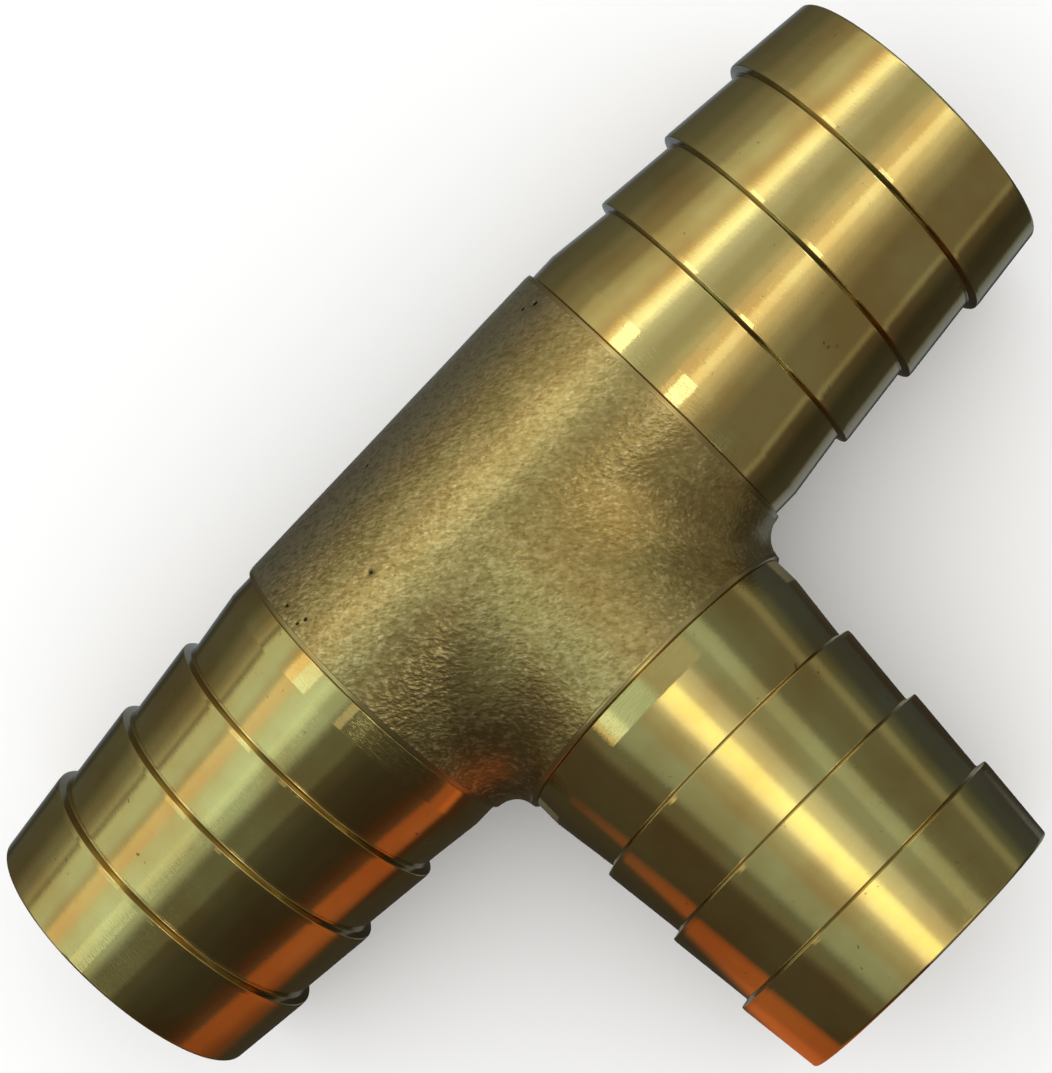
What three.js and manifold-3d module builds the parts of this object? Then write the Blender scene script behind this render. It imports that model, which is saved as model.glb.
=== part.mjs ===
// Barbed tee connector: a cast brass body with three turned hose tails, all lengths in millimetres.
// The run lies along X, the branch points along +Y and Z is up. The part lies flat on z = 0, and the
// origin is at the middle of its footprint.
import * as THREE from "three";
import { mergeVertices } from "three/addons/utils/BufferGeometryUtils.js";
import Module from "manifold-3d";

// Cast body
const BODY_RADIUS = 10.3;
const BODY_REACH = 12.0; // from the crossing of the axes to each end of the body
const LIP_LENGTH = 0.45; // turned chamfer at each end of the body
const LIP_DROP = 0.25;
const CROTCH_RADIUS = BODY_REACH - BODY_RADIUS; // the crotch fillets run out at the lips
const CROTCH_HEIGHT = 9.6; // where the fillets fade out, above and below the axes

// Hose tails
const CREST_RADIUS = 10.0;
const FOOT_RADIUS = 9.45; // where a cone meets the next barb
const ROOT_LAND = 1.7; // plain cylinder beside the body, as wide as the crests
const BARB_SHOULDERS = [5.9, 11.2, 16.75]; // from the body
const TAIL_LENGTH = 22.1;
const CREST_LAND = 0.3;
const SHOULDER_LEAN = 0.1; // how far a barb's shoulder leans along the axis
const TIP_CHAMFER = 0.3;

// Waterway and the joint between tail and body
const BORE_RADIUS = 7.5;
const SPIGOT_RADIUS = 8.5;
const SPIGOT_LENGTH = 3.0;
const JOINT_GAP = 0.3;

const SEGMENTS = 48; // flats face down and sideways, so the widths across flats are the true ones
const HALF_STEP = Math.PI / SEGMENTS;
const FLAT_TO_CORNER = 1 / Math.cos(HALF_STEP);
const FILLET_STEPS = 14;
const ARC_POINTS = 7;
const OVERSHOOT = 1.0; // how far a cutter runs past what it cuts

const TAIL_REACH = BODY_REACH + TAIL_LENGTH;
const AXIS_HEIGHT = BODY_RADIUS;
const RUN_Y = (BODY_RADIUS - TAIL_REACH) / 2;

const wasm = await Module();
wasm.setup();

function solidFrom(geometry) {
  const bare = geometry.index ? geometry.toNonIndexed() : geometry.clone();
  bare.deleteAttribute("normal");
  bare.deleteAttribute("uv");
  const merged = mergeVertices(bare, 1e-4);
  return new wasm.Manifold(
    new wasm.Mesh({
      numProp: 3,
      vertProperties: new Float32Array(merged.attributes.position.array),
      triVerts: new Uint32Array(merged.index.array),
    }),
  );
}

function geometryFrom(solid) {
  const mesh = solid.getMesh();
  const geometry = new THREE.BufferGeometry();
  geometry.setAttribute("position", new THREE.BufferAttribute(mesh.vertProperties, mesh.numProp));
  geometry.setIndex(new THREE.BufferAttribute(mesh.triVerts, 1));
  geometry.computeVertexNormals();
  return geometry;
}

// A closed ring turned about +Y from [radius, height] points. Radii are the widths across flats.
function turned(profile) {
  const points = profile.map(([radius, height]) => {
    return new THREE.Vector2(radius * FLAT_TO_CORNER, height);
  });
  points.push(points[0].clone());
  return new THREE.LatheGeometry(points, SEGMENTS, HALF_STEP);
}

// A round bar along +Y between two heights.
function bar(radius, low, high) {
  const corner = radius * FLAT_TO_CORNER;
  const geometry = new THREE.CylinderGeometry(corner, corner, high - low, SEGMENTS, 1, false, HALF_STEP);
  return geometry.translate(0, (low + high) / 2, 0);
}

// Turns a shape made along +Y to lie along one of the tee's three arms.
const ARM_TURNS = { left: Math.PI / 2, right: -Math.PI / 2, branch: 0 };

function onArm(geometry, arm) {
  return geometry.clone().rotateZ(ARM_TURNS[arm]);
}

function tailProfile() {
  const points = [
    [BORE_RADIUS, TAIL_REACH],
    [BORE_RADIUS, BODY_REACH - SPIGOT_LENGTH],
    [SPIGOT_RADIUS, BODY_REACH - SPIGOT_LENGTH],
    [SPIGOT_RADIUS, BODY_REACH + JOINT_GAP / 2],
    [CREST_RADIUS, BODY_REACH + JOINT_GAP / 2],
    [CREST_RADIUS, BODY_REACH + ROOT_LAND],
  ];
  for (const fromBody of BARB_SHOULDERS) {
    const shoulder = BODY_REACH + fromBody;
    points.push([FOOT_RADIUS, shoulder - SHOULDER_LEAN]);
    points.push([CREST_RADIUS, shoulder]);
    points.push([CREST_RADIUS, shoulder + CREST_LAND]);
  }
  points.push([FOOT_RADIUS, TAIL_REACH - TIP_CHAMFER]);
  points.push([FOOT_RADIUS - TIP_CHAMFER, TAIL_REACH]);
  return points;
}

// The web in the corner between run and branch. Each level follows the two round walls inward, and
// the web fades out towards the top and bottom, where the walls meet almost flat.
function crotchFillet() {
  const corner = BODY_RADIUS;
  const outline = new THREE.Shape();
  outline.moveTo(corner - OVERSHOOT, corner - OVERSHOOT);
  outline.lineTo(corner + CROTCH_RADIUS, corner - OVERSHOOT);
  outline.lineTo(corner + CROTCH_RADIUS, corner);
  outline.absarc(
    corner + CROTCH_RADIUS,
    corner + CROTCH_RADIUS,
    CROTCH_RADIUS,
    -Math.PI / 2,
    -Math.PI,
    true,
  );
  outline.lineTo(corner - OVERSHOOT, corner + CROTCH_RADIUS);
  outline.closePath();
  const web = new THREE.ExtrudeGeometry(outline, {
    depth: 2 * CROTCH_HEIGHT,
    steps: FILLET_STEPS,
    curveSegments: ARC_POINTS,
    bevelEnabled: false,
  });
  web.translate(0, 0, -CROTCH_HEIGHT);
  const at = web.attributes.position;
  for (let i = 0; i < at.count; i++) {
    const z = at.getZ(i);
    const wall = Math.sqrt(BODY_RADIUS ** 2 - z ** 2);
    const fade = 1 - 0.9 * (z / CROTCH_HEIGHT) ** 2;
    at.setX(i, wall + (at.getX(i) - corner) * fade);
    at.setY(i, wall + (at.getY(i) - corner) * fade);
  }
  return web;
}

// The ring outside the turned chamfer, cut from each end of the body.
function lipCutter() {
  const slope = LIP_DROP / LIP_LENGTH;
  const end = BODY_REACH + OVERSHOOT / 2;
  const start = BODY_REACH - 2 * LIP_LENGTH;
  const coneAt = (height) => BODY_RADIUS - slope * (height - BODY_REACH + LIP_LENGTH);
  return turned([
    [coneAt(end), end],
    [coneAt(start), start],
    [coneAt(start), end],
  ]);
}

function castBody() {
  const end = BODY_REACH - JOINT_GAP / 2;
  let solid = solidFrom(onArm(bar(BODY_RADIUS, -end, end), "right"));
  solid = solid.add(solidFrom(bar(BODY_RADIUS, 0, end)));
  const web = solidFrom(crotchFillet());
  solid = solid.add(web).add(web.mirror([1, 0, 0]));
  const trim = new THREE.BoxGeometry(2 * end, end + BODY_RADIUS, 4 * BODY_RADIUS);
  solid = solid.intersect(solidFrom(trim.translate(0, (end - BODY_RADIUS) / 2, 0)));
  for (const arm of Object.keys(ARM_TURNS)) {
    solid = solid.subtract(solidFrom(onArm(lipCutter(), arm)));
    const socketFloor = BODY_REACH - SPIGOT_LENGTH - JOINT_GAP;
    const socket = bar(SPIGOT_RADIUS + JOINT_GAP, socketFloor, BODY_REACH + OVERSHOOT);
    solid = solid.subtract(solidFrom(onArm(socket, arm)));
    solid = solid.subtract(solidFrom(onArm(bar(BORE_RADIUS, 0, BODY_REACH), arm)));
  }
  return geometryFrom(solid);
}

const castBrass = new THREE.MeshStandardMaterial({ color: 0x8c7440, roughness: 0.6, metalness: 0.9 });
const turnedBrass = new THREE.MeshStandardMaterial({ color: 0xb99a4b, roughness: 0.25, metalness: 1 });

const tee = new THREE.Group();
tee.name = "barbed_tee";
tee.position.set(0, RUN_Y, AXIS_HEIGHT);

function addPiece(name, geometry, material) {
  const piece = new THREE.Mesh(geometry, material);
  piece.name = name;
  tee.add(piece);
  return piece;
}

addPiece("cast_body", castBody(), castBrass);
const tailGeometry = turned(tailProfile());
for (const [name, arm] of [
  ["run_tail_left", "left"],
  ["run_tail_right", "right"],
  ["branch_tail", "branch"],
]) {
  addPiece(name, tailGeometry, turnedBrass).rotation.z = ARM_TURNS[arm];
}

export default tee;
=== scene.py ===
"""Looks of a barbed brass tee connector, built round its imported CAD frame.

The run lies along X, the branch points along +Y and Z is up. Lengths are in millimetres until they
reach a mesh, and are measured from the crossing of the two axes unless a name says otherwise.
"""

import math

import bmesh
import bpy
import numpy as np
from mathutils import Matrix, Vector, noise


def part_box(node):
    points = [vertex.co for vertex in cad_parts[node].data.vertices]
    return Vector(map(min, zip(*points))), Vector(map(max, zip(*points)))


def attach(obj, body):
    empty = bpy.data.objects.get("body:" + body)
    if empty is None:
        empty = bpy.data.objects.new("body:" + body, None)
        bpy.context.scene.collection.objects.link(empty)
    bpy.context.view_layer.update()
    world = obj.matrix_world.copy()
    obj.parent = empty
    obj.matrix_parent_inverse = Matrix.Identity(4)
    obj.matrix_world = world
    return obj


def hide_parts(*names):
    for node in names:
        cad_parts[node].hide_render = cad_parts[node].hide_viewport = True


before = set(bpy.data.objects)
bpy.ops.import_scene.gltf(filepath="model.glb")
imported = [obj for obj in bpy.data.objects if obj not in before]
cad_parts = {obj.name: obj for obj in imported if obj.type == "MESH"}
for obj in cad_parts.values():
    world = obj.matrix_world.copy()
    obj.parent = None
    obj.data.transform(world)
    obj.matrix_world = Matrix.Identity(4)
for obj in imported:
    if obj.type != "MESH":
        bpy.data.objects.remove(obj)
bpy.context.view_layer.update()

MM = 0.001

body_low, body_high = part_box("cast_body")
tail_low, tail_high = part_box("run_tail_right")
BODY_RADIUS = (body_high.z - body_low.z) / 2 / MM
TAIL_REACH = tail_high.x / MM
SPIGOT_START = tail_low.x / MM
CREST_RADIUS = (tail_high.z - tail_low.z) / 2 / MM
CROSSING = Vector((0.0, tail_low.y / MM + CREST_RADIUS, body_high.z / MM - BODY_RADIUS))

WELD = 1e-4  # points closer than this become one

# Cast body
BODY_REACH = 12.0  # from the crossing to each end
SEAM_GAP = 0.04  # thin open line between the body's end and a tail's root
LIP_LENGTH = 0.32  # the body's ends are turned down over this length
LIP_DROP = 0.07
CROTCH_RADIUS = BODY_REACH - BODY_RADIUS
VALLEY_REACH = 4.6  # how far the blend between run and branch spreads, halfway up
BORE_RADIUS = 7.5
SOCKET_RADIUS = 8.8
SOCKET_FLOOR = 8.7  # from the crossing
GRAIN_SIZE = 0.7
GRAIN_DEPTH = 0.007
SAG_SIZE = 6.0
SAG_DEPTH = 0.03
SAG_LOWERED = 0.6  # keeps the uneven skin inside the CAD body
SETTLING_STEPS = 6
AROUND = 400
LIP_ROWS = 14
LIP_SHARE = 0.09  # of the way from an arm's end to the mitre
SKIN_ROWS = 58
BORE_ROWS = 6

# Turned tails
SPIGOT_RADIUS = 8.5
FOOT_RADIUS = 9.45
ROOT_LAND = 1.7
SHOULDERS = (5.9, 11.2, 16.75)  # from the body
SHOULDER_LEAN = 0.07
FOOT_FILLET = 0.12
CREST_ROUND = 0.07
CREST_LAND = 0.22  # a barb's crest is flat over this length
ROOT_EDGE = 0.05  # broken edge beside the body
TIP_ROUND = 0.18
TIP_FACE = 0.1
MOUTH_CHAMFER = 0.25
END_SHARE = 0.012  # of a straight stretch, from each end to the first point within it
CHATTER_DEPTH = 0.0012  # faint lumps that the tool leaves
CHATTER_SIZE = 0.9
TAIL_AROUND = 480

# Which way each arm points, and the direction that its angle of 90 degrees points in
ARMS = {
    "left": (Vector((-1, 0, 0)), Vector((0, 1, 0))),
    "right": (Vector((1, 0, 0)), Vector((0, 1, 0))),
    "branch": (Vector((0, 1, 0)), Vector((1, 0, 0))),
}
UP = Vector((0, 0, 1))


# ---------------------------------------------------------------- mesh helpers

def arm_points(arm, along, radius, angle):
    """Points round one arm as an (n, 3) array, in mm from the crossing. Angle 0 is the top."""
    axis, side = ARMS[arm]
    along, radius, angle = np.broadcast_arrays(along, radius, angle)
    points = np.outer(along.ravel(), np.array(axis))
    points += np.outer((radius * np.sin(angle)).ravel(), np.array(side))
    points += np.outer((radius * np.cos(angle)).ravel(), np.array(UP))
    return points


def grid_faces(rows, columns, start=0, wrap_rows=False):
    """Quads of a grid whose columns go right round, and whose rows do too if wrap_rows."""
    faces = []
    for row in range(rows if wrap_rows else rows - 1):
        below = start + row * columns
        above = start + (row + 1) % rows * columns
        for column in range(columns):
            after = (column + 1) % columns
            faces.append((below + column, below + after, above + after, above + column))
    return faces


def make_piece(name, points, faces, node, material):
    """A welded closed mesh with its faces turned outward, riding in place of its CAD node."""
    mesh = bpy.data.meshes.new(name)
    placed = (points + np.array(CROSSING)) * MM
    mesh.from_pydata(placed.tolist(), [], faces)
    work = bmesh.new()
    work.from_mesh(mesh)
    bmesh.ops.remove_doubles(work, verts=work.verts, dist=WELD * MM)
    bmesh.ops.recalc_face_normals(work, faces=work.faces)
    for face in work.faces:
        face.smooth = True
    work.to_mesh(mesh)
    work.free()
    piece = bpy.data.objects.new(name, mesh)
    bpy.context.scene.collection.objects.link(piece)
    mesh.materials.append(material)
    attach(piece, "root")
    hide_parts(node)
    return piece


def noise_at(points, size, offset=0.0):
    """Smooth noise from -1 to 1 with lumps of about the given size in mm."""
    shift = Vector((offset, offset * 1.7, offset * 0.6))
    return np.array([noise.noise(Vector(p) / size + shift) for p in points.tolist()])


# ---------------------------------------------------------------- cast body

def skin_distance(p):
    """Distance to the outer skin: two equal round arms, rolled together along their valleys.

    The fillet reaches VALLEY_REACH from the crease halfway up, and less at the crotch and the top."""
    run = np.hypot(p[:, 1], p[:, 2])
    branch = np.hypot(p[:, 0], p[:, 2])
    facing = np.minimum(p[:, 2] ** 2 / np.maximum(run * branch, 1e-9), 1)
    crease = np.sqrt(1 - facing)  # 0 at the top of the crossing, 1 in the crotch
    reach = CROTCH_RADIUS * crease + VALLEY_REACH * crease * facing
    fillet = reach * np.sqrt(1 - facing ** 2) + 1e-6
    to_run = run - BODY_RADIUS
    to_branch = np.where(p[:, 1] > 0, branch - BODY_RADIUS, BODY_RADIUS)
    corner = np.hypot(np.maximum(fillet - to_run, 0), np.maximum(fillet - to_branch, 0))
    return np.maximum(fillet, np.minimum(to_run, to_branch)) - corner


def skin_slope(p, step=1e-3):
    slope = np.stack([
        skin_distance(p + offset) - skin_distance(p - offset)
        for offset in np.eye(3) * step
    ], 1) / (2 * step)
    return slope / np.linalg.norm(slope, axis=1)[:, None]


def rough_skin(points):
    """Moves points from the plain arms onto the filleted skin, and roughens it like cast sand."""
    p = points.copy()
    for _ in range(SETTLING_STEPS):
        p -= skin_distance(p)[:, None] * skin_slope(p)
    out = skin_slope(p)
    grain = noise_at(p, GRAIN_SIZE) + 0.5 * noise_at(p, GRAIN_SIZE / 2, 3.1)
    sag = noise_at(p, SAG_SIZE, 9.2)
    height = GRAIN_DEPTH * grain + SAG_DEPTH * (sag - SAG_LOWERED)
    for centre, width, depth in PITS:
        away = np.linalg.norm(p - np.array(centre), axis=1) / width
        height -= depth * np.exp(-away ** 4)
    return p + out * height[:, None]


def on_skin(x, y):
    """The point of the body's top straight above x, y on the run."""
    return (x, y, math.sqrt(BODY_RADIUS ** 2 - y ** 2))


PITS = [
    (on_skin(6.2, -2.8), 0.17, 0.14),
    (on_skin(10.7, -3.7), 0.13, 0.08),
    (on_skin(11.2, -3.9), 0.11, 0.07),
    (on_skin(11.0, -5.2), 0.12, 0.07),
    (on_skin(-10.9, -7.2), 0.16, 0.08),
    (on_skin(-10.2, -7.6), 0.13, 0.07),
    (on_skin(2.4, -8.1), 0.12, 0.06),
]


def trim_lip(arm, points):
    """Turns the end of an arm down to the cone of its lip."""
    axis = np.array(ARMS[arm][0])
    along = points @ axis
    outward = points - np.outer(along, axis)
    radius = np.linalg.norm(outward, axis=1)
    cone = BODY_RADIUS - LIP_DROP * (along - BODY_REACH + LIP_LENGTH) / LIP_LENGTH
    limit = np.where(along > BODY_REACH - 2 * LIP_LENGTH, cone, np.inf)
    scale = np.minimum(1.0, limit / radius)
    return np.outer(along, axis) + outward * scale[:, None]


def arm_rows(arm, radius, angles, start, depths):
    """Rows of a grid from an arm's end to the mitre where it meets the other arms.

    depths run from 0 at the end to 1 at the mitre."""
    lateral = radius * np.sin(angles)
    mitre = np.abs(lateral) if arm == "branch" else np.maximum(lateral, 0)
    along = start + (mitre[None, :] - start) * depths[:, None]
    return arm_points(arm, along, radius, np.broadcast_to(angles, along.shape))


def cast_body(material):
    angles = np.arange(AROUND) * 2 * math.pi / AROUND
    end = BODY_REACH - SEAM_GAP / 2
    lip = np.linspace(0, LIP_SHARE, LIP_ROWS, endpoint=False)
    skin = np.concatenate([lip, np.linspace(LIP_SHARE, 1, SKIN_ROWS)])
    points, faces = [], []

    def add(rows_of_points, rows):
        faces.extend(grid_faces(rows, AROUND, sum(len(p) for p in points)))
        points.append(rows_of_points)

    for arm in ARMS:
        outer = trim_lip(arm, rough_skin(arm_rows(arm, BODY_RADIUS, angles, end, skin)))
        mouth = outer[:AROUND]
        ring = [
            arm_points(arm, end, SOCKET_RADIUS, angles),
            arm_points(arm, SOCKET_FLOOR, SOCKET_RADIUS, angles),
            arm_points(arm, SOCKET_FLOOR, BORE_RADIUS, angles),
        ]
        bore = arm_rows(arm, BORE_RADIUS, angles, SOCKET_FLOOR, np.linspace(0, 1, BORE_ROWS))
        add(outer, len(skin))
        add(np.concatenate([mouth, *ring]), 1 + len(ring))
        add(bore, BORE_ROWS)
    return make_piece(
        "cast_body_skin", np.concatenate(points), faces, "cast_body", material
    )


# ---------------------------------------------------------------- turned tails

def arc(centre, radius, start, stop, count):
    """(along, radius) points of a corner's arc, angles in degrees."""
    turns = np.radians(np.linspace(start, stop, count))
    return [(centre[0] + radius * math.cos(t), centre[1] + radius * math.sin(t)) for t in turns]


def straight(start, stop, count):
    """Points after start and before stop, with one close to each so that the shading stays flat."""
    shares = [END_SHARE, *(k / count for k in range(1, count)), 1 - END_SHARE]
    return [
        (start[0] + (stop[0] - start[0]) * share, start[1] + (stop[1] - start[1]) * share)
        for share in shares
    ]


def tail_profile():
    """The outline of a tail as (along, radius) points, from the free end's bore round to its tip."""
    root = BODY_REACH + SEAM_GAP / 2
    points = [(TAIL_REACH - MOUTH_CHAMFER, BORE_RADIUS)]
    points += straight(points[-1], (SPIGOT_START, BORE_RADIUS), 8)
    points += [(SPIGOT_START, BORE_RADIUS), (SPIGOT_START, SPIGOT_RADIUS), (root, SPIGOT_RADIUS)]
    rounding = 0.3 * ROOT_EDGE  # about what a quarter circle leaves at its middle
    points += [(root, CREST_RADIUS - ROOT_EDGE), (root + rounding, CREST_RADIUS - rounding)]
    points += [(root + ROOT_EDGE, CREST_RADIUS)]
    land_end = (BODY_REACH + ROOT_LAND, CREST_RADIUS)
    points += straight(points[-1], land_end, 5) + [land_end]
    for from_body in SHOULDERS:
        shoulder = BODY_REACH + from_body
        foot = (shoulder - SHOULDER_LEAN - FOOT_FILLET, FOOT_RADIUS)
        points += straight(points[-1], foot, 9) + [foot]
        points += arc((foot[0], foot[1] + FOOT_FILLET), FOOT_FILLET, -70, -10, 4)
        crest = (shoulder + CREST_ROUND, CREST_RADIUS - CREST_ROUND)
        points += arc(crest, CREST_ROUND, 170, 90, 5)
        points += straight(points[-1], (crest[0] + CREST_LAND, CREST_RADIUS), 3)
        points += [(crest[0] + CREST_LAND, CREST_RADIUS)]
    tip = (TAIL_REACH - TIP_ROUND, FOOT_RADIUS - TIP_ROUND)
    rounded = arc(tip, TIP_ROUND, 82, 5, 7)
    points += straight(points[-1], rounded[0], 9) + rounded
    points += [(TAIL_REACH, FOOT_RADIUS - TIP_ROUND - TIP_FACE)]
    points += [(TAIL_REACH, BORE_RADIUS + MOUTH_CHAMFER)]
    return points


def turned_tail(arm, name, node, material):
    profile = tail_profile()
    angles = np.arange(TAIL_AROUND) * 2 * math.pi / TAIL_AROUND
    along = np.array([p[0] for p in profile])[:, None]
    radius = np.array([p[1] for p in profile])[:, None] * np.ones(TAIL_AROUND)
    points = arm_points(arm, along, radius, angles[None, :])
    lump = noise_at(points, CHATTER_SIZE, 20.0) + 0.5 * noise_at(points, 3 * CHATTER_SIZE, 31.0)
    outside = (radius > (SPIGOT_RADIUS + FOOT_RADIUS) / 2).ravel()
    outside &= (along > BODY_REACH).repeat(TAIL_AROUND)
    axis = np.array(ARMS[arm][0])
    outward = points - np.outer(points @ axis, axis)
    outward /= np.linalg.norm(outward, axis=1)[:, None]
    points += outward * (CHATTER_DEPTH * lump * outside)[:, None]
    faces = grid_faces(len(profile), TAIL_AROUND, wrap_rows=True)
    return make_piece(name, points, faces, node, material)


# ---------------------------------------------------------------- materials

class Nodes:
    """Short calls for building one node tree."""

    def __init__(self, tree):
        self.tree = tree
        tree.nodes.clear()

    def add(self, kind, inputs=None, **settings):
        node = self.tree.nodes.new(kind)
        for key, value in settings.items():
            setattr(node, key, value)
        for key, value in (inputs or {}).items():
            self.put(node, key, value)
        return node

    def put(self, node, key, value):
        if isinstance(value, bpy.types.NodeSocket):
            self.tree.links.new(value, node.inputs[key])
        else:
            node.inputs[key].default_value = value

    def math(self, operation, a, b=0.0):
        node = self.add("ShaderNodeMath", {0: a, 1: b}, operation=operation)
        return node.outputs[0]

    def spread(self, value, low, high, to_low=0.0, to_high=1.0, smooth=True):
        """to_low where value is low, to_high where it is high, and a slope between them."""
        node = self.add(
            "ShaderNodeMapRange",
            {"Value": value, "From Min": low, "From Max": high, "To Min": to_low, "To Max": to_high},
            interpolation_type="SMOOTHSTEP" if smooth else "LINEAR",
        )
        return node.outputs["Result"]

    def mix(self, factor, a, b):
        node = self.add("ShaderNodeMix", data_type="RGBA", blend_type="MIX")
        self.put(node, 0, factor)
        for key, value in ((6, a), (7, b)):
            self.put(node, key, value if isinstance(value, bpy.types.NodeSocket) else (*value, 1.0))
        return node.outputs[2]

    def mix_values(self, factor, a, b):
        node = self.add("ShaderNodeMix", {0: factor, 2: a, 3: b}, data_type="FLOAT")
        return node.outputs[0]

    def noise(self, where, size, detail=2.0, rough=0.5, warp=0.0):
        node = self.add(
            "ShaderNodeTexNoise",
            {"Vector": where, "Scale": 1 / (size * MM), "Detail": detail, "Roughness": rough,
             "Distortion": warp},
        )
        return node.outputs["Fac"]

    def near(self, where, centre, full, none):
        """1 within full mm of a centre, falling to 0 at none mm."""
        away = self.add(
            "ShaderNodeVectorMath", {0: where, 1: (Vector(centre) + CROSSING) * MM},
            operation="DISTANCE",
        )
        return self.spread(away.outputs["Value"], none * MM, full * MM)

    def cells(self, where, size, output="Distance"):
        node = self.add("ShaderNodeTexVoronoi", {"Vector": where, "Scale": 1 / (size * MM)})
        return node.outputs[output]

    def bump(self, height, depth):
        node = self.add("ShaderNodeBump", {"Height": height, "Distance": depth * MM})
        return node.outputs["Normal"]


def new_material(name):
    material = bpy.data.materials.new(name)
    material.use_nodes = True
    nodes = Nodes(material.node_tree)
    shader = nodes.add("ShaderNodeBsdfPrincipled", {"Metallic": 1.0})
    output = nodes.add("ShaderNodeOutputMaterial")
    nodes.put(output, "Surface", shader.outputs[0])
    return material, nodes, shader


BRASS = (0.88, 0.71, 0.285)
WARM_BRASS = (0.80, 0.56, 0.20)
STAIN = (0.34, 0.24, 0.10)
# Painted shade: the dark colour laid in the inner corner under each barb
GROOVE_PAINTED_SHADE = (0.20, 0.13, 0.045)
RING_STRETCH = 9.0  # the lathe's marks are this much finer along a tail than round it
TURNED_BUMP = 0.005
HAZE_SIZE = 5.0
RING_SIZE = 1.6
FINE_RING_SIZE = 0.5
FLECK_SIZE = 0.5
FLECKED_SIZE = 4.0  # of the areas that have flecks
CORNER_SHADE_FULL = 0.05  # from the inner corner under a barb
CORNER_SHADE_GONE = 0.12
CORNER_SHADE_STRENGTH = 0.75
# For spread: a pattern's values from and to, then the strengths from and to if not 0 and 1
HAZE = (0.35, 0.7)
RING_TINT = (0.45, 0.8, 0.0, 0.25)
FLECKS = (0.66, 0.74)
FLECKED_AREAS = (0.5, 0.62)
RING_ROUGHNESS = (0.3, 0.75, 0.03, 0.06)
STAIN_ROUGHNESS = 0.25
CORNER_ROUGHNESS = 0.2


def corner_painted_shade(nodes, where, axis):
    """1 in the inner corner under each barb, where shade falls: painted shade."""
    split = nodes.add("ShaderNodeSeparateXYZ", {"Vector": where})
    along = nodes.math("SUBTRACT", split.outputs[axis], CROSSING[axis] * MM)
    along = nodes.math("ABSOLUTE", along)
    painted_shade = 0.0
    for from_body in SHOULDERS:
        corner = (BODY_REACH + from_body - SHOULDER_LEAN) * MM
        away = nodes.math("ABSOLUTE", nodes.math("SUBTRACT", along, corner))
        here = nodes.spread(away, CORNER_SHADE_GONE * MM, CORNER_SHADE_FULL * MM, 0.0, CORNER_SHADE_STRENGTH)
        painted_shade = nodes.math("MAXIMUM", painted_shade, here)
    return painted_shade


def turned_brass(name, axis):
    """Bright turned brass. axis is 0 or 1: the tail lies along X or Y."""
    material, nodes, shader = new_material(name)
    where = nodes.add("ShaderNodeTexCoord").outputs["Object"]
    stretch = [1.0, 1.0, 1.0]
    stretch[axis] = RING_STRETCH
    lathe = nodes.add("ShaderNodeMapping", {"Vector": where, "Scale": stretch}).outputs[0]
    haze = nodes.noise(where, HAZE_SIZE, 3.0, 0.55)
    rings = nodes.noise(lathe, RING_SIZE, 4.0, 0.7)
    fine_rings = nodes.noise(lathe, FINE_RING_SIZE, 2.0, 0.6)
    flecks = nodes.spread(nodes.noise(where, FLECK_SIZE, 3.0, 0.6, 0.4), *FLECKS)
    patches = nodes.spread(nodes.noise(where, FLECKED_SIZE, 2.0), *FLECKED_AREAS)
    stains = nodes.math("MULTIPLY", flecks, patches)
    tone = nodes.mix(nodes.spread(haze, *HAZE), BRASS, WARM_BRASS)
    tone = nodes.mix(nodes.spread(rings, *RING_TINT), tone, WARM_BRASS)
    tone = nodes.mix(stains, tone, STAIN)
    groove = corner_painted_shade(nodes, where, axis)
    # painted shade: the inner corners under the barbs are painted dark
    tone = nodes.mix(groove, tone, GROOVE_PAINTED_SHADE)
    nodes.put(shader, "Base Color", tone)
    rough = nodes.spread(rings, *RING_ROUGHNESS)
    rough = nodes.math("ADD", rough, nodes.math("MULTIPLY", stains, STAIN_ROUGHNESS))
    rough = nodes.math("ADD", rough, nodes.math("MULTIPLY", groove, CORNER_ROUGHNESS))
    nodes.put(shader, "Roughness", rough)
    height = nodes.math("ADD", nodes.math("MULTIPLY", rings, 0.7), fine_rings)
    nodes.put(shader, "Normal", nodes.bump(height, TURNED_BUMP))
    return material


CAST = (0.485, 0.352, 0.132)
PALE_CAST = (0.575, 0.422, 0.165)
# Colour of the grain's bright worn tips, and of the painted glints on it
WORN_TIPS_AND_PAINTED_GLINTS = (0.90, 0.69, 0.35)
CAST_HOLLOWS = (0.30, 0.20, 0.068)
# Pale grey painted onto the side away from the branch, for its light
PAINTED_GREY_SIDE_LIGHT = (0.62, 0.55, 0.36)
# Colour of the painted highlight patches
PAINTED_HIGHLIGHT_CAST = (0.72, 0.535, 0.21)
WARM_CAST = (0.53, 0.365, 0.115)
# Colour of the painted shade patches, which also darken round two pits
TARNISH_AND_PAINTED_SHADE = (0.22, 0.165, 0.062)
LIP_BRASS = (0.62, 0.46, 0.19)
PIT_BROWN = (0.055, 0.034, 0.016)
FLOW = math.radians(135)  # the way that the grain is drawn out, from +X towards +Y
FLOW_STRETCH = 1.6
CALM_END = -9.0  # the grain is calmer towards this end of the run, and rougher towards the other
ROUGH_END = 7.0
ROUGH_RANGE = (0.75, 1.15)
COARSE_GRAIN = 0.40
FINE_GRAIN = 0.20
PEBBLE_SIZE = 0.33
SPECK_SIZE = 0.2
CLUMP_SIZE = 1.5  # bright specks lie in loose clumps
BLOTCH_SIZE = 3.0
CAST_BUMP = 0.030
LIP_BUMP_SHARE = 0.04
LIP_BLEND = 0.03
CAST_ROUGHNESS = 0.31
LIP_ROUGHNESS = 0.20
PIT_DARKENING = (0.8, 1.3)  # full within, gone beyond: shares of a pit's width
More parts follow.
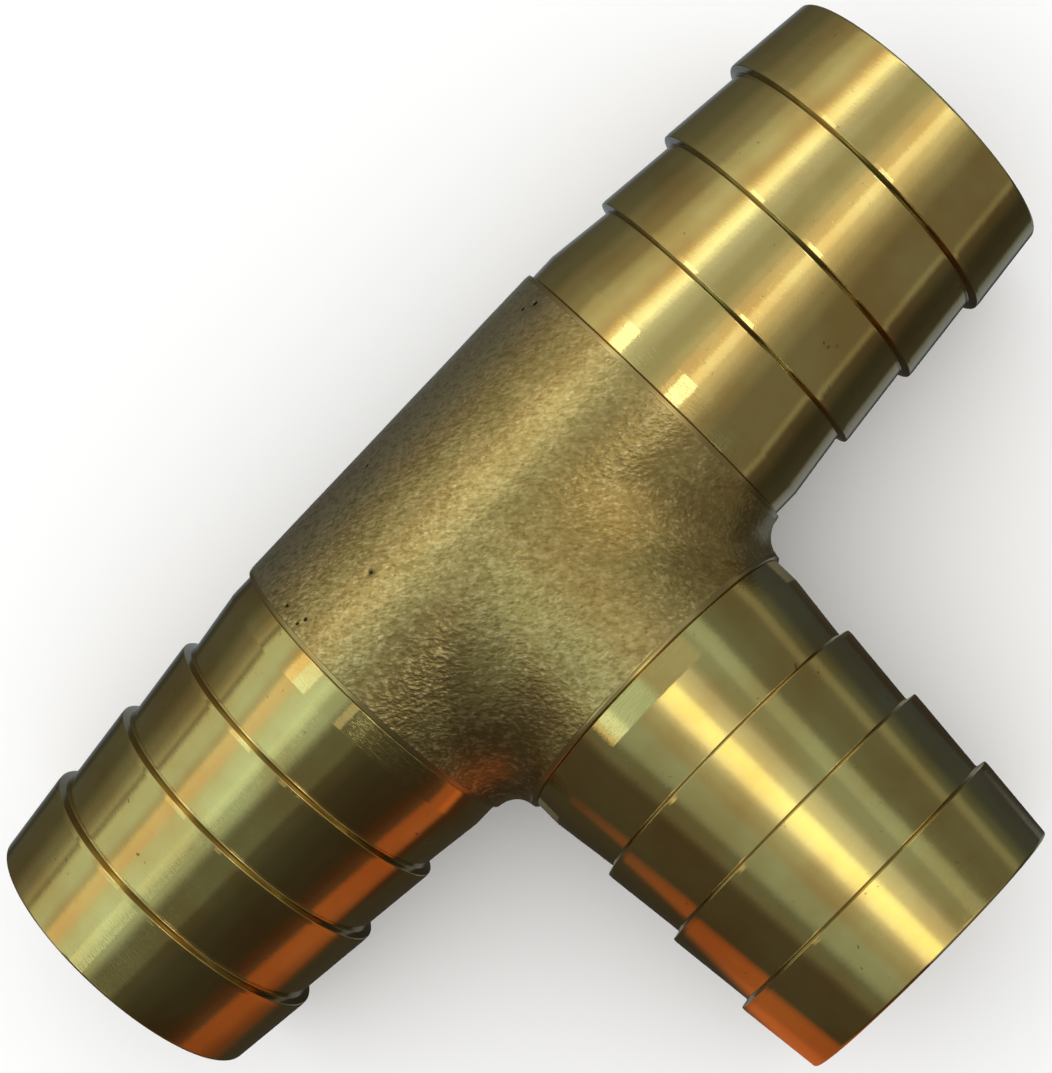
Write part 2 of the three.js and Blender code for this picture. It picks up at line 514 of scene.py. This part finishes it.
# For spread, like those of the turned brass
BLOTCHES = (0.38, 0.64)
TIPS = (0.51, 0.66, 0.0, 0.40)
HOLLOWS = (0.49, 0.35, 0.0, 0.52)
SPECK_ROUND = (0.55, 0.15)  # a speck fades out from the middle of its cell
HOLES = (0.30, 0.04, 0.0, 0.6)
# Which specks become painted glints, and how much their clumps add
PAINTED_GLINTS = (0.72, 1.0, 0.0, 0.62)
PAINTED_GLINT_CLUMPS = (0.40, 0.66, -0.12, 0.10)
# Painted light: the casting is painted paler and greyer down its side away from the branch, for how
# light falls there
GREY_FROM = -4.6
GREY_FULL = -8.4
GREY_STRENGTH = 0.9
# Patches of painted highlight, warmer tint and painted shade, laid over each other: (colour, centre,
# full within, gone beyond, strength)
PAINTED_LIGHT_PATCHES = [
    (PAINTED_HIGHLIGHT_CAST, (0.0, 9.6, 10.2), 1.2, 5.0, 0.62),
    (PAINTED_HIGHLIGHT_CAST, (-0.2, 4.6, 10.3), 0.8, 3.6, 0.36),
    (PAINTED_HIGHLIGHT_CAST, (1.0, 0.5, 10.3), 1.5, 5.5, 0.22),
    (PAINTED_HIGHLIGHT_CAST, (9.0, 0.0, 10.3), 1.0, 4.5, 0.30),
    (PAINTED_HIGHLIGHT_CAST, (-7.0, 0.1, 10.3), 1.0, 4.0, 0.42),
    (PAINTED_HIGHLIGHT_CAST, (7.0, 6.4, 8.6), 0.3, 2.2, 0.40),
    (WARM_CAST, (-4.0, 4.5, 9.8), 3.0, 9.0, 0.60),
    (TARNISH_AND_PAINTED_SHADE, (8.6, 8.6, 4.5), 2.5, 7.0, 0.46),
    (TARNISH_AND_PAINTED_SHADE, (10.5, 3.0, 9.5), 1.0, 6.0, 0.42),
    (TARNISH_AND_PAINTED_SHADE, (7.2, 3.0, 9.8), 0.6, 4.1, 0.60),
    (TARNISH_AND_PAINTED_SHADE, (-7.8, 3.4, 9.8), 0.5, 5.0, 0.36),
    (TARNISH_AND_PAINTED_SHADE, (-7.4, 6.4, 8.0), 0.5, 3.2, 0.42),
    (TARNISH_AND_PAINTED_SHADE, (4.0, 8.4, 9.4), 0.8, 4.2, 0.42),
    (TARNISH_AND_PAINTED_SHADE, (-4.0, 11.2, 9.2), 0.4, 2.8, 0.30),
    (TARNISH_AND_PAINTED_SHADE, (-5.2, 9.0, 8.8), 0.8, 4.0, 0.14),
    (TARNISH_AND_PAINTED_SHADE, (-10.9, -7.4, 7.2), 0.4, 1.8, 0.25),
    (TARNISH_AND_PAINTED_SHADE, (11.3, -4.4, 9.3), 0.3, 1.5, 0.3),
]


def cast_patches(nodes, where, out_branch):
    """The casting's colour under its grain, with patches of painted highlight and painted shade over
    it.
    """
    blotch = nodes.noise(where, BLOTCH_SIZE, 3.0, 0.55)
    tone = nodes.mix(nodes.spread(blotch, *BLOTCHES), CAST, PALE_CAST)
    # painted light: the side away from the branch is painted paler and greyer
    edge = nodes.spread(out_branch, GREY_FROM * MM, GREY_FULL * MM, 0.0, GREY_STRENGTH)
    tone = nodes.mix(edge, tone, PAINTED_GREY_SIDE_LIGHT)
    # painted highlights and painted shade, one patch over the next
    for colour, centre, full, none, strength in PAINTED_LIGHT_PATCHES:
        patch = nodes.math("MULTIPLY", nodes.near(where, centre, full, none), strength)
        tone = nodes.mix(patch, tone, colour)
    return tone


def cast_specks(nodes, where, drawn, tone):
    """Small holes, and bright specks that are painted glints: a random share of the cells of a fine
    pattern.
    """
    speck = nodes.spread(nodes.cells(drawn, SPECK_SIZE), *SPECK_ROUND)
    chance = nodes.cells(drawn, SPECK_SIZE, output="Color")
    chance = nodes.add("ShaderNodeSeparateColor", {0: chance}).outputs[0]
    holes = nodes.math("MULTIPLY", nodes.spread(chance, *HOLES), speck)
    tone = nodes.mix(holes, tone, CAST_HOLLOWS)
    clumps = nodes.spread(nodes.noise(where, CLUMP_SIZE, 2.0), *PAINTED_GLINT_CLUMPS, smooth=False)
    # painted highlights: some specks are painted as bright glints
    painted_glint = nodes.spread(nodes.math("ADD", chance, clumps), *PAINTED_GLINTS)
    return nodes.mix(nodes.math("MULTIPLY", painted_glint, speck), tone, WORN_TIPS_AND_PAINTED_GLINTS)


def cast_brass():
    """Sand-cast skin: dull grain with bright worn tips and painted glints, patches of painted
    highlight and shade, and turned lips at its ends.
    """
    material, nodes, shader = new_material("cast_brass")
    where = nodes.add("ShaderNodeTexCoord").outputs["Object"]
    split = nodes.add("ShaderNodeSeparateXYZ", {"Vector": where})
    out_run = nodes.math("ABSOLUTE", split.outputs[0])
    out_branch = nodes.math("SUBTRACT", split.outputs[1], CROSSING.y * MM)
    out = nodes.math("MAXIMUM", out_run, out_branch)
    lip_start = BODY_REACH - LIP_LENGTH
    lip = nodes.spread(out, (lip_start - LIP_BLEND) * MM, (lip_start + LIP_BLEND) * MM)
    drawn = nodes.add(
        "ShaderNodeMapping",
        {"Vector": where, "Rotation": (0, 0, FLOW), "Scale": (FLOW_STRETCH, 1, 1)},
        vector_type="TEXTURE",
    ).outputs[0]
    coarse = nodes.noise(drawn, COARSE_GRAIN, 2.0, 0.6)
    fine = nodes.noise(drawn, FINE_GRAIN, 1.0, 0.5)
    pebbles = nodes.cells(drawn, PEBBLE_SIZE)
    grain = nodes.mix_values(0.3, coarse, fine)
    rough = nodes.spread(
        split.outputs[0], CALM_END * MM, ROUGH_END * MM, *ROUGH_RANGE, smooth=False
    )

    tone = cast_patches(nodes, where, out_branch)
    tips = nodes.math("MULTIPLY", nodes.spread(grain, *TIPS), rough)
    tone = nodes.mix(tips, tone, WORN_TIPS_AND_PAINTED_GLINTS)
    hollows = nodes.math("MULTIPLY", nodes.spread(grain, *HOLLOWS), rough)
    tone = nodes.mix(hollows, tone, CAST_HOLLOWS)
    tone = cast_specks(nodes, where, drawn, tone)
    tone = nodes.mix(lip, tone, LIP_BRASS)
    full, none = PIT_DARKENING
    # each pit is darkened brown, out to a little beyond its width
    for centre, width, _ in PITS:
        tone = nodes.mix(nodes.near(where, centre, full * width, none * width), tone, PIT_BROWN)
    nodes.put(shader, "Base Color", tone)
    gloss = nodes.spread(lip, 0.0, 1.0, CAST_ROUGHNESS, LIP_ROUGHNESS, smooth=False)
    nodes.put(shader, "Roughness", gloss)

    height = nodes.math("ADD", coarse, nodes.math("MULTIPLY", fine, 0.5))
    height = nodes.math("SUBTRACT", height, nodes.math("MULTIPLY", pebbles, 0.25))
    height = nodes.math("MULTIPLY", height, rough)
    smoothed = nodes.spread(lip, 0.0, 1.0, 1.0, LIP_BUMP_SHARE, smooth=False)
    height = nodes.math("MULTIPLY", height, smoothed)
    nodes.put(shader, "Normal", nodes.bump(height, CAST_BUMP))
    return material


# ---------------------------------------------------------------- studio

# The cards round each arm, under the name of the tail that shows them:
# (degrees from straight up, brightness, tint). One fades into the next. Angles grow towards +Y
# round the run, and towards -X round the branch.
WHITE = (1.0, 1.07, 1.03)
KHAKI = (1.0, 1.03, 0.88)
AMBER = (1.0, 0.89, 0.66)
UMBER = (1.0, 0.90, 0.74)
COOL = (1.0, 1.22, 1.18)
SLATE = (1.0, 1.2, 1.5)
RUST = (1.0, 0.5, 0.35)
MINT = (1.0, 1.31, 1.28)
SAGE = (1.0, 1.14, 1.0)
OCHRE = (1.0, 0.98, 0.84)
CLAY = (1.0, 0.78, 0.60)
STRAW = (1.0, 1.04, 0.70)
LANES = {
    "left_tail": [
        (-180, 0.05, UMBER), (-134, 0.08, KHAKI), (-108, 0.10, KHAKI), (-90, 0.17, OCHRE),
        (-73, 0.25, OCHRE), (-64, 0.43, KHAKI), (-54, 0.53, KHAKI), (-44.8, 0.53, UMBER),
        (-42, 0.62, AMBER), (-38.8, 0.90, AMBER), (-35.8, 1.15, KHAKI), (-30.5, 1.22, SAGE),
        (-27.5, 0.93, WHITE), (-23, 0.58, WHITE), (-17, 0.46, WHITE), (-8, 0.355, KHAKI),
        (-1, 0.355, KHAKI), (8, 0.50, OCHRE), (12, 0.68, UMBER), (18.5, 0.78, AMBER),
        (21, 1.10, OCHRE), (25, 1.06, OCHRE), (30, 0.70, OCHRE), (38.5, 0.46, OCHRE),
        (42, 0.33, OCHRE), (48, 0.24, OCHRE), (61, 0.155, OCHRE), (93, 0.155, OCHRE),
        (97.5, 0.24, KHAKI), (103, 0.08, UMBER), (120, 0.035, KHAKI), (180, 0.04, UMBER),
    ],
    "right_tail": [
        (-180, 0.05, KHAKI), (-104, 0.08, KHAKI), (-84, 0.16, KHAKI), (-78, 0.235, KHAKI),
        (-73.5, 0.33, KHAKI), (-70, 0.19, KHAKI), (-64.4, 0.48, SAGE), (-53, 0.47, COOL),
        (-45, 0.43, KHAKI), (-43.2, 0.48, KHAKI), (-41.4, 0.71, AMBER), (-32.5, 0.66, UMBER),
        (-29.6, 0.56, SAGE), (-22, 0.57, COOL), (-17, 0.575, MINT), (-12.8, 0.62, MINT),
        (-8.8, 0.53, MINT), (-5, 0.36, MINT), (2, 0.335, MINT), (4.6, 0.25, COOL),
        (8, 0.15, COOL), (11, 0.12, SAGE), (26, 0.12, SAGE), (31, 0.07, KHAKI),
        (46, 0.045, KHAKI), (64, 0.035, UMBER), (79, 0.035, CLAY), (86, 0.055, RUST),
        (93, 0.085, RUST), (98, 0.12, RUST), (112, 0.05, RUST), (180, 0.03, UMBER),
    ],
    "branch": [
        (-180, 0.03, UMBER), (-63, 0.065, UMBER), (-58, 0.10, UMBER), (-56.4, 0.135, KHAKI),
        (-46, 0.13, SAGE), (-42.4, 0.235, COOL), (-36, 0.27, COOL), (-27, 0.29, COOL),
        (-21, 0.315, KHAKI), (-12, 0.40, KHAKI), (-6.2, 0.66, OCHRE), (-4.2, 1.05, OCHRE),
        (1, 1.25, STRAW), (6, 1.33, STRAW), (9.5, 1.30, STRAW), (11.2, 1.00, KHAKI),
        (13, 0.72, KHAKI), (23, 0.54, WHITE), (26.5, 0.35, WHITE), (31, 0.27, SAGE),
        (40, 0.26, COOL), (42.8, 0.35, COOL), (52.3, 0.32, COOL), (55.4, 0.17, SAGE),
        (58, 0.14, SAGE), (74, 0.125, KHAKI), (88, 0.13, KHAKI), (92, 0.215, KHAKI),
        (96.5, 0.21, KHAKI), (101, 0.10, SAGE), (116, 0.05, SLATE), (180, 0.03, SLATE),
    ],
    # What lies below the floor's edge, seen in the barbs' steep faces and along the outlines
    "left_tail_under": [
        (-180, 0.035, UMBER), (-176, 0.05, UMBER), (-172, 0.15, KHAKI), (-166, 0.32, KHAKI),
        (-161, 0.28, SLATE), (-150, 0.15, SLATE), (-138, 0.08, KHAKI), (-120, 0.08, KHAKI),
        (120, 0.035, KHAKI), (146, 0.045, KHAKI), (153, 0.16, SLATE), (166, 0.20, SLATE),
        (171, 0.12, SLATE), (175, 0.035, UMBER),
    ],
    "right_tail_under": [
        (-180, 0.035, UMBER), (-176, 0.04, UMBER), (-172, 0.13, KHAKI), (-166, 0.34, KHAKI),
        (-161, 0.22, SLATE), (-150, 0.10, SLATE), (-139, 0.045, KHAKI), (-120, 0.06, KHAKI),
        (120, 0.045, RUST), (134, 0.04, UMBER),
    ],
}
# Small bright cards near straight up, which only the flat lands beside the body can see:
# (round which arm, degrees from, to, reach along the arm from, to, brightness, tint)
CARDS = [
    ("run", 15, 27, -0.18, 0.02, 1.9, WHITE),
    ("run", 11, 15, -0.18, 0.02, 0.9, AMBER),
    ("run", -36, -25, -0.18, 0.02, 1.6, WHITE),
    ("run", -41, -33, 0.05, 0.24, 1.0, AMBER),
    ("run", -33, -21, 0.05, 0.24, 0.95, COOL),
    ("run", 7, 13, 0.05, 0.24, 0.45, KHAKI),
    ("branch", -43, -32, -0.22, -0.02, 0.80, COOL),
    ("branch", -48, -43, -0.22, -0.02, 0.70, AMBER),
]
CARD_EDGE = 0.01
HALVES_BLEND = 0.1  # between what the two tails of the run see
SIDE_FROM = 0.57  # a way that leans over more than this along X is lit by the branch's cards
SIDE_BLEND = 0.04
SIDE_REACH = (-0.30, 0.36)  # and so far along Y
SIDE_EDGE = 0.05
UNDER_FROM = -0.60
UNDER_FULL = -0.66
# Two real cards near the tee. Places on them are in mm from the crossing.
BOUNCE_CARD = [
    (10, 22), (30, 12), (75, 12), (110, 40), (110, 125), (14, 125), (4, 60), (4, 36), (10, 36)
]
BOUNCE_HEIGHT = -5.0  # from the axes
# Where the card turns solid, (clear at, solid at): along y + BOUNCE_SLOPE * x at its near edge,
# then along y, x - BOUNCE_LEAN * y and y again
BOUNCE_SLOPE = 0.62
BOUNCE_LEAN = 0.5
BOUNCE_NEAR_EDGE = (34.8, 41.0)
BOUNCE_FADES = [(8, 32), (62, 18), (112, 56)]
BOUNCE_GLOW = (0.32, 0.10, 0.04)
BOUNCE_BRIGHT = (0.46, 0.13, 0.045)
BOUNCE_HEART = (14.0, 33.0)  # its bright middle, beside the branch's tip
BOUNCE_HEART_SIZE = (3.0, 9.0)  # full within, gone beyond
BRANCH_CARD = [(-12.2, 13.7), (11.6, 13.7), (11.6, 38.5), (-12.2, 38.5)]
BRANCH_CARD_HEIGHT = 18.0  # above the axes
BRANCH_CARD_MIDDLE = -0.3  # its stripes lie a little off the branch's axis, like the camera
BRANCH_CARD_FADE = (0.1, 0.8)  # in from its edges: clear up to, solid from
STUDIO_WHITE = 1.18
FLOOR_WIDTH = 1200.0
FLOOR_WHITE = (0.93, 0.93, 0.925)


def lane_ramp(nodes, turn, stops):
    ramp = nodes.add("ShaderNodeValToRGB", {"Fac": turn})
    ramp.color_ramp.interpolation = "EASE"
    elements = ramp.color_ramp.elements
    while len(elements) > 1:
        elements.remove(elements[-1])
    for index, (degrees, level, tint) in enumerate(stops):
        place = degrees / 360 + 0.5
        element = elements[0] if index == 0 else elements.new(place)
        element.position = place
        element.color = (*(level * channel for channel in tint), 1.0)
    return ramp.outputs["Color"]


def make_world():
    """Plain white light, with the soft cards of a studio to be seen in polished metal."""
    world = bpy.data.worlds.new("studio")
    world.use_nodes = True
    bpy.context.scene.world = world
    nodes = Nodes(world.node_tree)
    way = nodes.add("ShaderNodeTexCoord").outputs["Generated"]
    split = nodes.add("ShaderNodeSeparateXYZ", {"Vector": way})
    x, y, z = split.outputs
    angle = {
        "run": nodes.math("ARCTAN2", y, z),
        "branch": nodes.math("ARCTAN2", nodes.math("MULTIPLY", x, -1.0), z),
    }
    reach = {"run": x, "branch": y}
    turn = {
        key: nodes.math("ADD", nodes.math("DIVIDE", value, 2 * math.pi), 0.5)
        for key, value in angle.items()
    }

    def between(value, low, high, edge=CARD_EDGE):
        rise = nodes.spread(value, low - edge, low + edge)
        fall = nodes.spread(value, high - edge, high + edge, 1.0, 0.0)
        return nodes.math("MULTIPLY", rise, fall)

    to_right = nodes.spread(x, 0.0, HALVES_BLEND)
    light, under = (
        nodes.mix(
            to_right, lane_ramp(nodes, turn["run"], LANES["left_tail" + part]),
            lane_ramp(nodes, turn["run"], LANES["right_tail" + part]),
        )
        for part in ("", "_under")
    )
    light = nodes.mix(nodes.spread(z, UNDER_FROM, UNDER_FULL), light, under)
    leaning = nodes.math("ABSOLUTE", x)
    beside_branch = nodes.spread(leaning, SIDE_FROM, SIDE_FROM + SIDE_BLEND)
    beside_branch = nodes.math("MULTIPLY", beside_branch, between(y, *SIDE_REACH, SIDE_EDGE))
    light = nodes.mix(
        beside_branch, light,
        lane_ramp(nodes, turn["branch"], LANES["branch"]),
    )
    for arm, start, stop, low, high, level, tint in CARDS:
        card = nodes.math(
            "MULTIPLY", between(angle[arm], math.radians(start), math.radians(stop)),
            between(reach[arm], low, high),
        )
        light = nodes.mix(card, light, tuple(level * channel for channel in tint))
    shiny = nodes.add("ShaderNodeLightPath").outputs["Is Glossy Ray"]
    light = nodes.mix(shiny, (STUDIO_WHITE,) * 3, light)
    background = nodes.add("ShaderNodeBackground", {"Color": light, "Strength": 1.0})
    output = nodes.add("ShaderNodeOutputWorld")
    nodes.put(output, "Surface", background.outputs[0])


def make_card(name, outline, height, paint):
    """A flat card with faded edges that only polished metal sees. Its outline is in mm.

    paint(nodes, x, y) gives its colour and how solid it is, from a place on it in metres."""
    mesh = bpy.data.meshes.new(name)
    corners = [Vector((*corner, height)) + CROSSING for corner in outline]
    mesh.from_pydata([corner * MM for corner in corners], [], [range(len(corners))])
    card = bpy.data.objects.new(name, mesh)
    bpy.context.scene.collection.objects.link(card)
    material = bpy.data.materials.new(name)
    material.use_nodes = True
    nodes = Nodes(material.node_tree)
    where = nodes.add("ShaderNodeTexCoord").outputs["Object"]
    split = nodes.add("ShaderNodeSeparateXYZ", {"Vector": where})
    y = nodes.math("SUBTRACT", split.outputs[1], CROSSING.y * MM)
    colour, solid = paint(nodes, split.outputs[0], y)
    light = nodes.add("ShaderNodeEmission", {"Color": colour, "Strength": 1.0})
    clear = nodes.add("ShaderNodeBsdfTransparent")
    blend = nodes.add("ShaderNodeMixShader", {0: solid, 1: clear.outputs[0], 2: light.outputs[0]})
    output = nodes.add("ShaderNodeOutputMaterial")
    nodes.put(output, "Surface", blend.outputs[0])
    mesh.materials.append(material)
    card.visible_camera = False
    card.visible_diffuse = False
    card.visible_shadow = False


def paint_bounce(nodes, x, y):
    """Rust coloured, faded towards its edges, and brightest beside the tip of the branch."""
    sloping = nodes.math("ADD", y, nodes.math("MULTIPLY", x, BOUNCE_SLOPE))
    outward = nodes.math("SUBTRACT", x, nodes.math("MULTIPLY", y, BOUNCE_LEAN))
    none, full = BOUNCE_NEAR_EDGE
    solid = nodes.spread(sloping, none * MM, full * MM)
    for value, (none, full) in zip((y, outward, y), BOUNCE_FADES):
        solid = nodes.math("MULTIPLY", solid, nodes.spread(value, none * MM, full * MM))
    from_heart = nodes.math(
        "SQRT",
        nodes.math(
            "ADD",
            nodes.math("POWER", nodes.math("SUBTRACT", x, BOUNCE_HEART[0] * MM), 2.0),
            nodes.math("POWER", nodes.math("SUBTRACT", y, BOUNCE_HEART[1] * MM), 2.0),
        ),
    )
    full, none = BOUNCE_HEART_SIZE
    heart = nodes.spread(from_heart, none * MM, full * MM)
    return nodes.mix(heart, BOUNCE_GLOW, BOUNCE_BRIGHT), solid


def paint_over_branch(nodes, x, y):
    """The same stripes that the branch sees at its sides, as they look from its top."""
    below = (BRANCH_CARD_HEIGHT - BODY_RADIUS / 2) * MM
    turn = nodes.math("ARCTAN2", nodes.math("SUBTRACT", BRANCH_CARD_MIDDLE * MM, x), below)
    turn = nodes.math("ADD", nodes.math("DIVIDE", turn, 2 * math.pi), 0.5)
    low_x, low_y = BRANCH_CARD[0]
    high_x, high_y = BRANCH_CARD[2]
    none, full = BRANCH_CARD_FADE
    solid = nodes.spread(x, (low_x + none) * MM, (low_x + full) * MM)
    for value, edge, inward in ((x, high_x, -1), (y, low_y, 1), (y, high_y, -1)):
        fade = nodes.spread(value, (edge + inward * none) * MM, (edge + inward * full) * MM)
        solid = nodes.math("MULTIPLY", solid, fade)
    return lane_ramp(nodes, turn, LANES["branch"]), solid


def make_floor():
    mesh = bpy.data.meshes.new("floor")
    half = FLOOR_WIDTH * MM / 2
    mesh.from_pydata(
        [(-half, -half, 0), (half, -half, 0), (half, half, 0), (-half, half, 0)], [], [(0, 1, 2, 3)]
    )
    floor = bpy.data.objects.new("floor", mesh)
    bpy.context.scene.collection.objects.link(floor)
    material = bpy.data.materials.new("pale_floor")
    material.use_nodes = True
    nodes = Nodes(material.node_tree)
    paint = nodes.add("ShaderNodeBsdfDiffuse", {"Color": (*FLOOR_WHITE, 1.0)})
    output = nodes.add("ShaderNodeOutputMaterial")
    nodes.put(output, "Surface", paint.outputs[0])
    mesh.materials.append(material)
    floor.visible_glossy = False


# The camera's places are in mm in the frame itself, as the photo's perspective gives them
CAMERA_AT = Vector((-7.18, 14.01, 138.29))
CAMERA_AIM = Vector((2.19, -2.59, 10.3))
CAMERA_TURN = math.radians(134.4)  # the picture's up, seen from above, from +Y towards -X
CAMERA_LENS = 73.35
CAMERA_SHIFT = (-0.0686, 0.1320)


def make_camera():
    data = bpy.data.cameras.new("camera")
    data.lens = CAMERA_LENS
    data.shift_x, data.shift_y = CAMERA_SHIFT
    data.clip_start = 0.001
    camera = bpy.data.objects.new("camera", data)
    back = (CAMERA_AT - CAMERA_AIM).normalized()
    rough_up = Vector((-math.sin(CAMERA_TURN), math.cos(CAMERA_TURN), 0))
    right = rough_up.cross(back).normalized()
    up = back.cross(right)
    turn = Matrix((right, up, back)).transposed().to_4x4()
    camera.matrix_world = Matrix.Translation(CAMERA_AT * MM) @ turn
    bpy.context.scene.collection.objects.link(camera)
    bpy.context.scene.camera = camera


# ---------------------------------------------------------------- the scene

bpy.context.scene.view_settings.view_transform = "Standard"
make_camera()
make_world()
make_floor()
make_card("bounce_card", BOUNCE_CARD, BOUNCE_HEIGHT, paint_bounce)
make_card("branch_card", BRANCH_CARD, BRANCH_CARD_HEIGHT, paint_over_branch)
cast_body(cast_brass())
run_brass = turned_brass("turned_brass_run", 0)
branch_brass = turned_brass("turned_brass_branch", 1)
turned_tail("left", "run_tail_left_turned", "run_tail_left", run_brass)
turned_tail("right", "run_tail_right_turned", "run_tail_right", run_brass)
turned_tail("branch", "branch_tail_turned", "branch_tail", branch_brass)
